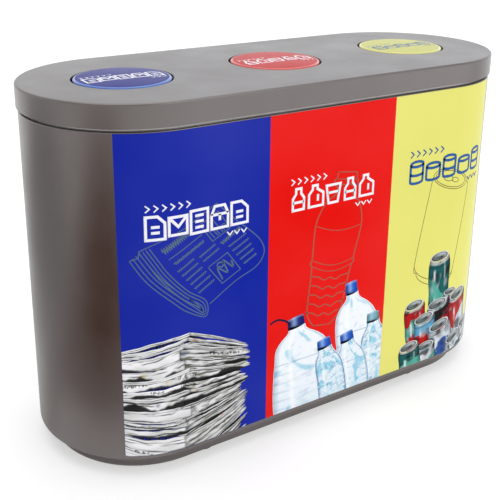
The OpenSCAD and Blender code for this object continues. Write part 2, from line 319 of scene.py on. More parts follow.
def floor_material():
    """A matt pale floor that glows a little, so that it looks white."""
    m = Nodes("pale_studio_floor")
    m.colour(m.mottled(1.2, 3.0, linear(*grey(198)), linear(*grey(203))))
    m.roughness(m.range(m.noise(30.0, 4.0), 0.55, 0.7))
    m.set(Specular_IOR_Level=0.1, Emission_Color=(1, 1, 1, 1), Emission_Strength=FLOOR_GLOW)
    return m.material


MATERIALS = {
    "paint": paint_material(),
    "galvanised": galvanised_material(),
    "zinc": zinc_material(),
    "rubber": rubber_material(),
    "nylon": nylon_material(),
}
for side, word in WORDS.items():
    MATERIALS["vinyl_" + word] = vinyl_material("gloss_vinyl_" + word, PANEL_COLOURS[side])
    MATERIALS["label_" + word] = vinyl_material("matt_label_" + word, LABEL_COLOURS[side], LABEL_GLOSS)
    MATERIALS["flap_" + word] = moulded_material("gloss_flap_" + word, FLAP_COLOURS[side])
INK = ink_material()
SLOT_OF = {part["node"]: part["material_slot"] for part in frame["record"]["subparts"]}
for node_name, cad_object in frame["nodes"].items():
    cad_object.data.materials.clear()
    cad_object.data.materials.append(MATERIALS[SLOT_OF[node_name]])


# ---- Mesh building ----

def rings_to_faces(count, size, loop_rings, loop_path):
    """Quads between neighbouring rings of points, as vertex numbers."""
    faces = []
    for a in range(count if loop_path else count - 1):
        b = (a + 1) % count
        for i in range(size if loop_rings else size - 1):
            j = (i + 1) % size
            faces.append((a * size + i, b * size + i, b * size + j, a * size + j))
    return faces


def show(name, data):
    thing = bpy.data.objects.new(name, data)
    bpy.context.scene.collection.objects.link(thing)
    return thing


def finish_piece(name, mesh, material, smooth_angle=32):
    """Makes the object: smooth faces, with a sharp edge where it turns more than the angle."""
    mesh.materials.append(material)
    mesh.polygons.foreach_set("use_smooth", [True] * len(mesh.polygons))
    mesh.set_sharp_from_angle(angle=radians(smooth_angle))
    return show(name, mesh)


def mesh_piece(name, points, faces, material):
    mesh = bpy.data.meshes.new(name)
    mesh.from_pydata([tuple(p) for p in points], [], faces)
    cleaned = bmesh.new()
    cleaned.from_mesh(mesh)
    bmesh.ops.remove_doubles(cleaned, verts=cleaned.verts, dist=1e-7)
    bmesh.ops.recalc_face_normals(cleaned, faces=cleaned.faces)
    cleaned.to_mesh(mesh)
    cleaned.free()
    return finish_piece(name, mesh, material)


def weigh_normals(piece):
    """Keeps broad flat faces flat next to their rounded edges."""
    weighted = piece.modifiers.new("weighted_normals", "WEIGHTED_NORMAL")
    weighted.keep_sharp = True


def place(piece, body, slot, *nodes):
    """Puts the piece on the body that carries it and hides the CAD nodes that it stands for. The slot is not
    used.
    """
    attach(piece, body)
    if nodes:
        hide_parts(*nodes)


def oval(cx, cy, rx, ry, start=0, end=360, steps=24):
    """Points along an oval or part of one, angles in degrees."""
    turns = [radians(start + (end - start) * k / steps) for k in range(steps + 1)]
    return [(cx + rx * cos(turn), cy + ry * sin(turn)) for turn in turns]


def fillet(points, radii, steps=5):
    """Rounds the corners of a closed profile. Each corner has its own radius."""
    out = []
    for k, (at, radius) in enumerate(zip(points, radii)):
        at = Vector(at)
        a = Vector(points[k - 1]) - at
        b = Vector(points[(k + 1) % len(points)]) - at
        if radius <= 0:
            out.append(tuple(at))
            continue
        half = a.angle(b) / 2
        reach = min(radius / tan(half), a.length * 0.49, b.length * 0.49)
        true_radius = reach * tan(half)
        centre = at + (a.normalized() + b.normalized()).normalized() * (true_radius / sin(half))
        first = at + a.normalized() * reach - centre
        turn = (at + b.normalized() * reach - centre).angle_signed(first)
        for i in range(steps + 1):
            angle = turn * i / steps
            c, s = cos(angle), sin(angle)
            out.append((centre.x + first.x * c - first.y * s, centre.y + first.x * s + first.y * c))
    return out


ARC_STEPS, RUN_STEPS, LATHE_STEPS = 48, 20, 96


def stations():
    """(centre x, outward direction) all round the plan, starting at the front of the right end."""
    out = []
    for side in (1, -1):
        for k in range(ARC_STEPS + 1):
            angle = (k / ARC_STEPS - 0.5) * pi
            out.append((side * HALF_RUN, Vector((side * cos(angle), side * sin(angle), 0))))
        for k in range(1, RUN_STEPS):
            out.append((side * HALF_RUN * (1 - 2 * k / RUN_STEPS), Vector((0, side, 0))))
    return out


def sweep_points(profile, radius):
    """The profile (outward, up) carried round the plan at this radius."""
    return [Vector((x, 0, 0)) + out * (radius + px) + Vector((0, 0, pz))
            for x, out in stations() for px, pz in profile]


def swept_piece(name, profile, radius, material):
    faces = rings_to_faces(len(stations()), len(profile), True, True)
    piece = mesh_piece(name, sweep_points(profile, radius), faces, material)
    weigh_normals(piece)
    return piece


def lathe_points(profile, x):
    """The profile (radius, height) turned about an upright axis at x."""
    turns = [2 * pi * k / LATHE_STEPS for k in range(LATHE_STEPS)]
    return [Vector((x + r * cos(turn), r * sin(turn), z)) for turn in turns for r, z in profile]


def lathe_piece(name, profile, x, material):
    faces = rings_to_faces(LATHE_STEPS, len(profile), True, True)
    piece = mesh_piece(name, lathe_points(profile, x), faces, material)
    weigh_normals(piece)
    return piece


def wrap(u, z, out):
    """A point on the shell's front: u along the surface from the middle, z up, out from the shell."""
    over = abs(u) - HALF_RUN
    if over <= 0:
        return Vector((u, -(END_R + out), z))
    side, angle = copysign(1, u), over / END_R
    return Vector((side * (HALF_RUN + (END_R + out) * sin(angle)), -(END_R + out) * cos(angle), z))


# ---- Sheet-metal pieces ----

def channel(low, high, top_in, outer, inner, top_edge):
    """Profile of a sheet wall whose top and bottom turn inward, with its bend and raw edge radii."""
    t, bottom_edge = SHEET, 0.4 * MM
    points = [(top_in, high), (0, high), (0, low), (-FLANGE, low),
              (-FLANGE, low + t), (-t, low + t), (-t, high - t), (top_in, high - t)]
    return fillet(points, [top_edge, outer, outer, bottom_edge, bottom_edge, inner, inner, top_edge])


def make_shell():
    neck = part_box("neck_ring")[1].y - END_R
    profile = channel(SHELL_BOTTOM, SHELL_TOP, neck, 2.2 * MM, 0.7 * MM, 0.2 * MM)
    place(swept_piece("painted_shell", profile, END_R, MATERIALS["paint"]), "body", "paint", "body_shell")


def make_plinth():
    inset = round(plinth_hi.y, 4)
    profile = channel(plinth_lo.z, plinth_hi.z, -FLANGE, 1.8 * MM, 0.6 * MM, 0.4 * MM)
    place(swept_piece("painted_plinth", profile, inset, MATERIALS["paint"]), "body", "paint", "plinth")


def lid_skirt():
    """Open profile of the lid's rounded edge and its skirt with a folded hem."""
    t, hem, rim = SHEET, 10 * MM, 16 * MM
    return fillet(
        [(-rim, LID_TOP), (0, LID_TOP), (0, LID_BOTTOM), (-2 * t, LID_BOTTOM), (-2 * t, LID_BOTTOM + hem),
         (-t, LID_BOTTOM + hem), (-t, LID_TOP - t), (-rim, LID_TOP - t)],
        [0, 4 * MM, 0.75 * MM, 0.75 * MM, 0.7 * MM, 0.2 * MM, 2.5 * MM, 0], 7)


def hole_edge():
    """Open profile of a hole's rolled edge."""
    lip = 1.2 * MM
    rolled = oval(HOLE_R + lip, LID_TOP - lip, lip, lip, 90, 180, 5)
    return rolled + [(HOLE_R, LID_TOP - SHEET), (HOLE_R + lip, LID_TOP - SHEET)]


def add_band(mesh, points, count, size):
    """Adds an open band of faces to a bmesh and gives back its first and last loops."""
    verts = [mesh.verts.new(p) for p in points]
    for face in rings_to_faces(count, size, False, True):
        mesh.faces.new([verts[i] for i in face])
    return [[verts[a * size + end] for a in range(count)] for end in (0, size - 1)]


def make_lid():
    """One skin: the skirt, three rolled hole edges, and a flat top and underside between them."""
    skirt, edge = lid_skirt(), hole_edge()
    mesh = bmesh.new()
    bands = [add_band(mesh, sweep_points(skirt, LID_R), len(stations()), len(skirt))]
    for side in SIDES:
        bands.append(add_band(mesh, lathe_points(edge, HOLE_X[side]), LATHE_STEPS, len(edge)))
    for face_loops in zip(*bands):
        edges = []
        for loop in face_loops:
            edges += [mesh.edges.get((a, b)) for a, b in zip(loop, loop[1:] + loop[:1])]
        bmesh.ops.triangle_fill(mesh, use_beauty=True, use_dissolve=False, edges=edges)
    bmesh.ops.recalc_face_normals(mesh, faces=mesh.faces)
    lid = bpy.data.meshes.new("painted_lid")
    mesh.to_mesh(lid)
    mesh.free()
    piece = finish_piece("painted_lid", lid, MATERIALS["paint"], 40)
    weigh_normals(piece)
    place(piece, "lid", "paint", "lid_cover")


# ---- Flaps ----

def crown(r):
    """Height of a flap's gently domed top at a radius."""
    return FLAP_TOP - FLAP_CROWN * (r / FLAP_R) ** 2


def make_flap(side, word):
    """A thin disc with a domed top, a round shoulder and a turned-down rim."""
    t, edge_r = 1.5 * MM, 4 * MM
    under_r = edge_r - t
    rim_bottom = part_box("flap_" + side)[0].z
    inner = FLAP_R - edge_r
    level = crown(inner) - edge_r
    top = [(inner * k / 12, crown(inner * k / 12)) for k in range(12)]
    shoulder = oval(inner, level, edge_r, edge_r, 90, 0, 8) + [(FLAP_R, rim_bottom), (FLAP_R - t, rim_bottom)]
    under = oval(inner, level, under_r, under_r, 0, 90, 6)
    below = [(inner * k / 6, crown(inner * k / 6) - t) for k in range(5, -1, -1)]
    piece = lathe_piece("moulded_flap_" + side, top + shoulder + under + below, HOLE_X[side],
                        MATERIALS["flap_" + word])
    place(piece, side + "_flap", "flap_" + word, "flap_" + side)


def make_label(side, word):
    steps, lift = 14, 0.01 * MM
    radii = [LABEL_R * k / steps for k in range(steps + 1)]
    top = [(r, crown(r) + LABEL_T) for r in radii]
    top[-1] = (LABEL_R, crown(LABEL_R) + LABEL_T * 0.5)
    below = [(r, crown(r) + lift) for r in reversed(radii)]
    piece = lathe_piece("round_label_" + side, top + below, HOLE_X[side], MATERIALS["label_" + word])
    place(piece, side + "_flap", "vinyl_" + word, "flap_label_" + side)


# ---- Printed panels ----

def make_panel(side, word):
    start = PANEL_CENTRE[side] - PANEL_W / 2
    low, high, t, soft = PANEL_BOTTOM, PANEL_TOP, PANEL_T, 0.15 * MM
    ring = [(low, 0), (low, t - soft), (low + soft, t), (high - soft, t), (high, t - soft), (high, 0)]
    columns = 70
    points = []
    for k in range(columns + 1):
        u = start + PANEL_W * k / columns
        points += [wrap(u, z, out) for z, out in ring]
    faces = rings_to_faces(columns + 1, len(ring), True, False)
    last = columns * len(ring)
    faces += [tuple(range(len(ring))), tuple(range(last, last + len(ring)))]
    piece = mesh_piece("printed_panel_" + side, points, faces, MATERIALS["vinyl_" + word])
    weigh_normals(piece)
    place(piece, "body", "vinyl_" + word, "front_panel_" + side)


class Print:
    """A flat picture of thin coloured patches and strokes, in metres, later laid on a surface."""

    LAYER = 0.012 * MM
    FILM = 0.010 * MM
    BEND_STEP = 5 * MM
    EDGE_SLACK = 0.05 * MM

    def __init__(self, limits):
        self.points, self.faces, self.inks = [], [], []
        self.limits = limits

    def clip(self, u, z):
        """Keeps a patch's place inside the picture's own panel."""
        start, end, low = self.limits
        return min(max(u, start), end), max(z, low)

    def patch(self, spot, ink, columns, rows, layer):
        """A grid whose places and colours are functions of two shares from 0 to 1."""
        start, width = len(self.points), columns + 1
        kept = []
        for j in range(rows + 1):
            for i in range(columns + 1):
                place_at = spot(i / columns, j / rows)
                clipped = self.clip(*place_at)
                kept.append(abs(place_at[0] - clipped[0]) + abs(place_at[1] - clipped[1]) < self.EDGE_SLACK)
                self.points.append((*clipped, layer))
                self.inks.append(ink(i / columns, j / rows))
        for j in range(rows):
            for i in range(columns):
                a = j * width + i
                corners = (a, a + 1, a + width + 1, a + width)
                if any(kept[c] for c in corners):
                    self.faces.append(tuple(start + c for c in corners))

    def stroke(self, points, width, ink, layer, closed=False):
        """A line of constant width along points, resampled so that it bends with the surface."""
        path = [Vector(p) for p in points]
        if closed:
            path.append(path[0])
        fine = [path[0]]
        for a, b in zip(path, path[1:]):
            pieces = max(1, ceil((b - a).length / self.BEND_STEP))
            fine += [a.lerp(b, k / pieces) for k in range(1, pieces + 1)]
        count = len(fine)
        start = len(self.points)
        for k, at in enumerate(fine):
            before = fine[k - 1] if k else (fine[-2] if closed else None)
            after = fine[k + 1] if k < count - 1 else (fine[1] if closed else None)
            ways = [(w[1] - w[0]).normalized() for w in ((before, at), (at, after)) if w[0] and w[1]]
            along = sum(ways, Vector((0, 0))).normalized()
            side = Vector((-along.y, along.x))
            reach = width / 2 / max(abs(side.dot(Vector((-ways[-1].y, ways[-1].x)))), 0.5)
            for sign in (-1, 1):
                p = at + side * sign * reach
                self.points.append((p.x, p.y, layer))
                self.inks.append(ink)
        for k in range(count - 1):
            a = start + 2 * k
            self.faces.append((a, a + 2, a + 3, a + 1))

    def piece(self, name, surface, body, slot):
        """Lays the picture on a surface given as a function of (u, z, height above it)."""
        mesh = bpy.data.meshes.new(name)
        laid = [surface(u, z, self.FILM + layer * self.LAYER) for u, z, layer in self.points]
        mesh.from_pydata([tuple(p) for p in laid], [], self.faces)
        inks = mesh.attributes.new("ink", "FLOAT_COLOR", "POINT")
        inks.data.foreach_set("color", [c for ink in self.inks for c in (*ink, 1.0)])
        made = finish_piece(name, mesh, INK, 60)
        film = made.modifiers.new("film", "SOLIDIFY")
        film.thickness = self.FILM
        film.offset = -1
        place(made, body, slot)


def on_panel(u, z, out):
    return wrap(u, z, PANEL_T + out)


def on_label(side):
    def surface(x, y, out):
        return Vector((HOLE_X[side] + x, y, crown(hypot(x, y)) + LABEL_T + out))
    return surface


# -- Signs: rows of plain pictograms that stand where the wording is --

def moved(points, x, y, size):
    """Points given in percent of the size, moved to x and y."""
    return [(x + px * size / 100, y + py * size / 100) for px, py in points]


# Each pictogram is a list of (points, closed), in a box 80 wide and 100 high
PICTOGRAMS = {
    "sheet": [([(0, 0), (0, 100), (50, 100), (80, 70), (80, 0)], True), ([(22, 30), (58, 30)], False),
              ([(22, 55), (58, 55)], False)],
    "letter": [([(0, 10), (0, 88), (80, 88), (80, 10)], True),
               ([(4, 84), (40, 44), (76, 84)], False)],
    "carton": [([(0, 0), (0, 62), (80, 62), (80, 0)], True),
               ([(0, 62), (16, 100), (64, 100), (80, 62)], False), ([(40, 62), (40, 34)], False)],
    "news": [([(0, 0), (0, 100), (80, 100), (80, 0)], True), ([(20, 76), (60, 76)], False),
             ([(20, 50), (60, 50)], False), ([(20, 24), (60, 24)], False)],
    "bottle": [([(10, 0), (10, 55), (26, 76), (26, 100), (54, 100), (54, 76), (70, 55),
                 (70, 0)], True), ([(10, 36), (70, 36)], False)],
    "jug": [([(0, 0), (0, 60), (20, 82), (20, 100), (46, 100), (46, 82), (80, 60), (80, 0)], True),
            ([(50, 56), (50, 24)], False)],
    "cup": [([(14, 0), (0, 86), (80, 86), (66, 0)], True), ([(8, 50), (72, 50)], False)],
    "can": [(oval(40, 88, 36, 12), False), ([(4, 88), (4, 10)], False),
            ([(76, 88), (76, 10)], False), (oval(40, 10, 36, 10, 180, 360, 12), False),
            (oval(40, 46, 36, 10, 180, 360, 12), False)],
    "tin": [(oval(40, 68, 40, 12), False), ([(0, 68), (0, 12)], False),
            ([(80, 68), (80, 12)], False), (oval(40, 12, 40, 11, 180, 360, 12), False)],
}
SIGN_ROWS = per_side(("sheet", "letter", "news", "carton", "sheet"),
                     ("bottle", "jug", "cup", "bottle", "jug"), ("can", "tin", "can", "tin", "can"))
SIGN_SCALE = per_side(1.0, 1.0, 1.12)
SIGN_HIGH, SIGN_GAP, SIGN_LINE = 40 * MM, 7 * MM, 5 * MM
ARROW, ARROW_LINE = 14 * MM, 2.4 * MM
ARROWS_RISE, ARROWS_DROP = 8 * MM, 22 * MM
POINTING_RIGHT = ((0, 0), (50, 42), (0, 84))
POINTING_DOWN = ((10, 80), (50, 30), (90, 80))


def sign(art, side, x, y, scale, layer):
    """A row of pictograms with small arrowheads above and below it, centred on x, standing on y."""
    row, ink, high, gap = SIGN_ROWS[side], MARK_COLOURS[side], SIGN_HIGH * scale, SIGN_GAP * scale
    pitch = 0.8 * high + gap
    length = len(row) * pitch - gap
    start = x - length / 2
    for k, word in enumerate(row):
        for points, closed in PICTOGRAMS[word]:
            outline = moved(points, start + k * pitch, y, high)
            art.stroke(outline, SIGN_LINE * scale, ink, layer, closed)
    small, thin = ARROW * scale, ARROW_LINE * scale
    above, below = y + high + ARROWS_RISE * scale, y - ARROWS_DROP * scale
    for k in range(6):
        art.stroke(moved(POINTING_RIGHT, start + k * small, above, small), thin, ink, layer)
    for k in range(3):
        art.stroke(moved(POINTING_DOWN, start + length - (k + 1) * small, below, small), thin, ink, layer)


# -- Line drawings behind the signs --

def in_mm(*points):
    """Places on the front, in millimetres along it and up, as vectors in metres."""
    return [Vector((u * MM, z * MM)) for u, z in points]


def curve_through(points, steps=8):
    """A smooth line through a few points."""
    points = [Vector(p) for p in points]
    ends = [points[0] * 2 - points[1]] + points + [points[-1] * 2 - points[-2]]
    out = [points[0]]
    for a, b, c, d in zip(ends, ends[1:], ends[2:], ends[3:]):
        for k in range(1, steps + 1):
            t = k / steps
            out.append(0.5 * (2 * b + (c - a) * t + (2 * a - 5 * b + 4 * c - d) * t * t
                              + (3 * b - a - 3 * c + d) * t * t * t))
    return out


def wavy(a, b, height, waves, steps):
    """A hand-drawn wavy line from a to b."""
    side = Vector((-(b - a).y, (b - a).x)).normalized()
    restless = 0.9
    return [a.lerp(b, k / steps) + side * height * sin(2 * pi * waves * k / steps + k * restless)
            for k in range(steps + 1)]


def draw_newspaper(art, ink):
    """A paper folded over a thick roll of pages, with bars, a chart, a picture and columns of print."""
    corner, along, down = in_mm((-372, 440), (1.26, 0.58), (1.04, -1.28))
    width = 1.9 * MM

    def at(a, b):
        """A place on the sheet, in percent of its length and its height."""
        return corner + along * a + down * b

    def line(points, smooth=False, thick=1.0):
        points = [at(*p) for p in points]
        art.stroke(curve_through(points) if smooth else points, width * thick, ink, 0)

    def wave(start, end, height=1.5, waves=4, steps=40, thick=0.8):
        art.stroke(wavy(at(*start), at(*end), height * MM, waves, steps), width * thick, ink, 0)

    line([(0, 0), (52, 3), (100, 0), (102, 14), (104, 30)])
    line([(104, 30), (109, 52), (111, 72), (104, 88), (84, 97), (50, 96), (6, 100)], True)
    for k in range(4):
        left, right, turn = -27 + 5.2 * k, 3.5 - 4.2 * k, 110 - 3 * k
        middle = (left + right) / 2 + 3
        line([(left, 5 - 1.2 * k), (left - 3, 36), (left + 2, 70), (left + 6, 90), (middle, turn),
              (right + 2, 94), (right - 5, 70), (right - 7, 40), (right - 4, 16), (right - 2, 2)], True)
    line([(-27, 5), (-16, 6), (-10, 0), (0, 0)])
    wave((10, 13), (56, 9), 6, 6, 60, 1.1)
    line([(9, 24), (60, 21)])
    wave((10, 32), (56, 29), 2.6, 9, 60, 0.9)
    line([(66, 10), (64, 36), (92, 35), (95, 9), (66, 10)])
    for k, top in enumerate((22, 15, 26)):
        left, right = 69 + 8 * k, 74 + 8 * k
        line([(left, 34), (left, top), (right, top), (right, 34)])
    line([(37, 60), (36, 88), (66, 87), (68, 59), (37, 60)])
    line([(40, 84), (45, 68), (51, 80), (57, 64), (61, 78), (65, 70)], True, 1.6)
    line([(46, 66), (50, 63), (55, 66), (51, 70), (46, 66)], True, 1.4)
    for k in range(6):
        b = 40 + 7.5 * k
        wave((6, b + 2), (32, b))
    for k in range(2):
        wave((38, 43 + 7 * k), (64, 41 + 7 * k))
    wave((70, 45), (102, 42), 3, 5, 40, 1.2)
    for k in range(5):
        b = 53 + 7.5 * k
        wave((74, b + 1), (103 - 2 * k, b))


def sagging(at, share, half, sag, steps):
    """A line across a leaning bottle that hangs by sag(k) millimetres in its middle."""
    return [at(share, half * (2 * k / steps - 1)) - Vector((0, sag(k) * MM * sin(pi * k / steps)))
            for k in range(steps + 1)]


def draw_bottle(art, ink):
    """An outlined drinks bottle that leans a little, with a ribbed waist."""
    top, foot = in_mm((33, 506), (-16, 206))
    width, lean = 2.6 * MM, 0.16
    outline = ((0.0, 22), (0.045, 24), (0.05, 27), (0.08, 27), (0.09, 20), (0.14, 20), (0.19, 38), (0.27, 50),
               (0.36, 54), (0.55, 49), (0.58, 52), (0.62, 46), (0.84, 42), (0.93, 37), (1.0, 20))

    def at(share, across):
        return top.lerp(foot, share) + Vector((across, -lean * across)) * MM

    for way in (-1, 1):
        side = [at(share, way * half) for share, half in outline]
        art.stroke(curve_through(side, 4), width, ink, 0)
    for share, half in ((0.0, 22), (0.045, 24), (0.08, 27), (1.0, 20)):
        art.stroke([at(share, -half), at(share, half)], width * 0.8, ink, 0)
    for share, half, sag in ((0.34, 52, 10), (0.56, 48, 12), (0.60, 46, 12)):
        art.stroke(sagging(at, share, half, lambda k: sag, 20), width * 0.6, ink, 0)
    for k in range(5):
        rib = sagging(at, 0.66 + 0.06 * k, 44, lambda i: 9 + 3.2 * cos(i * 0.8), 24)
        art.stroke(rib, width * 0.85, ink, 0)


def draw_can(art, ink):
    """An outlined drinks can that leans a little, with its lid, ring pull and base."""
    top, foot = in_mm((300, 446), (272, 250))
    width, lean = 1.5 * MM, 0.26

    def ring(centre, dx, dy, rx, ry, start=0, end=360):
        middle = centre + Vector((dx, dy)) * MM
        points = oval(0, 0, rx * MM, ry * MM, start, end, 40)
        art.stroke([middle + Vector((x, y - lean * x)) for x, y in points], width, ink, 0)

    ring(top, 0, 0, 49, 21)
    ring(top, 0, 0, 43, 17)
    ring(top, -8, 3, 13, 6)
    ring(top, 12, -4, 9, 5)
    for way in (-1, 1):
        near_top = in_mm((way * 49, -lean * way * 49), (way * 55, -24 - 14 * way))
        near_foot = in_mm((way * 56, 12 - 15 * way), (way * 50, -8 - 13 * way))
        side = [top + v for v in near_top] + [foot + v for v in near_foot]
        art.stroke(curve_through(side), width, ink, 0)
    ring(foot, 0, 6, 55, 26, 180, 360)
    ring(foot, 0, -8, 50, 24, 180, 360)


# -- Pictures of the litter at the foot of each panel --

def speckle(x, y, seed):
    """Smooth noise round 0 at a place, different for each seed."""
    return noise.noise(Vector((x, y, seed)))


def crisp(value, start, sharpness):
    """0 below the start, rising to 1."""
    return min(1.0, max(0.0, (value - start) * sharpness))


STACK_ENDS = (-421 * MM, -309 * MM, -184 * MM)
STACK_FEET = (22 * MM, -12 * MM, 66 * MM)
STACK_TOPS = (250 * MM, 272 * MM, 218 * MM)
STACK_BELOW = 0.32
STACK_PAPERS = 32
PAPER, PAPER_SHADE, OLIVE = linear(238, 238, 241), linear(186, 190, 184), linear(120, 122, 104)
BLACK = linear(18, 20, 18)
ACCENTS = (linear(200, 90, 60), linear(80, 96, 130), linear(206, 180, 120), BLACK)


def which_face(s):
    """0 for the left face of the pile or 1 for the right one, and the share along that face."""
    side = 0 if s < 0.5 else 1
    return side, s * 2 - side


def between(values, side, share):
    return values[side] + (values[side + 1] - values[side]) * share


class FoldedPaper:
    """One paper of the pile: a ragged strip that turns the pile's corner and ends in a fold."""

    def __init__(self, draw, lower, upper):
        left, corner, right = STACK_ENDS
        self.lower, self.upper = lower, upper
        bend = corner + draw.uniform(-14, 10) * MM
        self.ends = (left, bend, right + draw.choice((-11, -6, -2, 0, 3, 7)) * MM)
        self.seed, self.sag = draw.uniform(0, 90), draw.uniform(-3, 5) * MM
        self.pages = [draw.uniform(0.34, 0.95) for _ in range(draw.choice((1, 1, 2, 3)))]
        self.folds = [draw.uniform(0.16, 0.95) for _ in range(draw.choice((1, 2, 3)))]
        self.tone, self.printed = draw.uniform(0.90, 1.02), draw.choice((False, False, False, False, True))
        self.accent = draw.choice(ACCENTS)
        self.accent_at, self.gap = draw.uniform(0.08, 0.92), draw.choice((0.10, 0.14, 0.20, 0.32))

    def spot(self, s, t):
        side, share = which_face(s)
        u = between(self.ends, side, share)
        f = self.lower + (self.upper - self.lower) * (t * 1.12 - 0.06)
        pinch = max(0.0, share - 0.86) / 0.14 if side else 0.0
        f += (self.lower + self.upper - 2 * f) * 0.30 * pinch * pinch
        foot = between(STACK_FEET, side, share)
        rough = 1.6 * MM * speckle(u * 50, 0, self.seed) + 2.6 * MM * speckle(u * 12, 1, self.seed)
        level = foot + (between(STACK_TOPS, side, share) - foot) * f
        return u, level + rough - self.sag * sin(pi * share)

    def page_edges(self, colour, s, t):
        """Dark wavering lines between the pages, stronger on the right face."""
        right, seed = s > 0.5, self.seed
        reach = 0.08 if right else 0.05
        for page in self.folds if right else self.pages:
            at = page + 0.20 * speckle(s * 6, page * 5, seed) + 0.06 * speckle(s * 30, page * 5, seed)
            strong = 0.55 + 2.2 * speckle(s * 9, page * 9, seed + 3) + 0.3 * right
            colour = mix(colour, BLACK, strong * bell(t, at, reach))
        return colour

    def ink(self, s, t):
        right, seed = s > 0.5, self.seed
        colour = mix(PAPER, PAPER_SHADE, 0.10 + 0.7 * speckle(s * 7, t * 1.2, seed) + 0.3 * (1 - t))
        words = speckle(s * 100, t * 5, seed + 9) > 0.05 and speckle(s * 6, 0.3, seed + 5) > 0.10
        edge = self.gap * (1.0 + 2.4 * speckle(s * 5, 2.0, seed) + 0.5 * speckle(s * 24, 4.0, seed))
        colour = layered(
            self.page_edges(colour, s, t),
            (OLIVE, right * 0.62 * crisp(speckle(s * 16, t * 4, seed + 7), 0.02, 4)),
            (BLACK, 0.8 * (self.printed and words and 0.42 < t < 0.86)),
            (self.accent, 0.7 * bell(s, self.accent_at, 0.018) * bell(t, 0.6, 0.22)),
            (BLACK, 0.98 / (1 + exp((t - edge) * 34))),
            (BLACK, 0.5 * bell(s, 0.5 + 0.006 * sin(seed), 0.010)),
            (BLACK, 0.55 * bell(s, 1.0, 0.010)))
        face = self.tone * (0.90 if right else 1.0)
        return tuple(c * face for c in colour)


def stack_back(s, t):
    """The dark shape behind the papers, a little smaller than the pile."""
    left, corner, right = STACK_ENDS
    side, share = which_face(s)
    foot = between(STACK_FEET, side, share)
    top = between(STACK_TOPS, side, share) - 3 * MM
    low = foot - (top - foot) * 0.30
    return between((left, corner, right - 14 * MM), side, share), low + (top - low) * t


def paper_stack(art):
    """A pile of old papers seen on its corner, with black behind them."""
    draw = random.Random(11)
    edges = [0.0]
    for _ in range(STACK_PAPERS):
        edges.append(edges[-1] + draw.choice((0.5, 0.8, 1.0, 1.5, 2.1)))
    edges = [e / edges[-1] * (1 + STACK_BELOW) - STACK_BELOW for e in edges]
    art.patch(stack_back, lambda s, t: BLACK, 40, 2, 0)
    for k, (lower, upper) in enumerate(zip(edges, edges[1:])):
        paper = FoldedPaper(draw, lower, upper)
        art.patch(paper.spot, paper.ink, 180, 12, 1 + k % 8)


CLEAR, PALE, DEEP = linear(240, 244, 249), linear(150, 206, 228), linear(24, 116, 166)
HALO, HALO_W = (0.80, 0.88, 0.95), 1.2 * MM
CAP_SHINE = (0.50, 0.70, 1.0)


def bottle_outline(neck, shoulders):
    """(share of the height, share of the half width) from a bottle's foot to its neck."""
    return curve_through([(0.0, 0.90), (0.05, 1.0), (0.25, 1.0), (0.48, 0.5 + shoulders * 0.57),
                          (0.64, shoulders * 1.12), (0.78, shoulders * 0.98), (0.87, shoulders * 0.70),
                          (0.94, neck + 0.03), (1.0, neck)])


def width_at(outline, t):
    for (t0, w0), (t1, w1) in zip(outline, outline[1:]):
        if t <= t1:
            return w0 + (w1 - w0) * (t - t0) / (t1 - t0)
    return outline[-1][1]


def water_ink(s, t, seed, tint):
    """Clear plastic and water: swirls, dark sides, rings, streaks, low ribs, flecks and a bright line."""
    side = abs(2 * s - 1)
    swirl = speckle(s * 4 + 0.8 * speckle(s * 4, t * 6, seed), t * 7, seed)
    streak = speckle(s * 5 + t * 3, t * 26 - s * 4, seed + 4)
    rib = max(0.0, sin(t * 64 + 2.5 * s) - 0.55) * (t < 0.58)
    fleck = speckle(s * 24, t * 54, seed + 8)
    return layered(
        CLEAR,
        (PALE, 0.4 * tint + 0.75 * crisp(swirl, 0.24 - 0.22 * tint, 4) + 0.25 * (1 - t) ** 3),
        (DEEP, (0.30 + tint) * max(0.0, side - 0.82) / 0.18),
        (DEEP, 0.5 * bell(t, 0.03, 0.03) + 0.5 * bell(t, 0.62, 0.005)),
        (DEEP, (0.12 + 0.50 * tint) * crisp(streak, 0.34 - 0.14 * tint, 4)),
        (DEEP, 0.7 * rib * (0.15 + side * side)),
        (DEEP, tint * 0.45 * crisp(fleck, 0.32, 4)),
        ((1, 1, 1), 0.8 * tint * crisp(-fleck, 0.30, 5) + 0.5 * bell(s, 0.27, 0.035)))


def screw_cap(art, x, foot, half, height, slope, cap, layer):
    """A ribbed cap that leans with its bottle."""
    dark = tuple(c * 0.25 for c in cap)

    def spot(s, t):
        lift = 3 * MM * cos(pi * (s - 0.5)) * (t - 0.7)
        across = (2 * s - 1) * half * (1 - 0.08 * t)
        return x + across + slope * height * t, foot + height * t + lift - slope * across

    def ink(s, t):
        return layered(
            cap,
            (dark, 0.7 * bell(s, 0.0, 0.25) + 0.6 * bell(s, 1.0, 0.2)),
            (CAP_SHINE, 0.45 * bell(s, 0.4, 0.16) + 0.35 * bell(t, 0.93, 0.08)),
            (dark, 0.35 * max(0.0, sin(s * 70)) * (t > 0.3)),
            (dark, 0.85 * bell(t, 0.22, 0.05)))

    art.patch(spot, ink, 30, 12, layer)


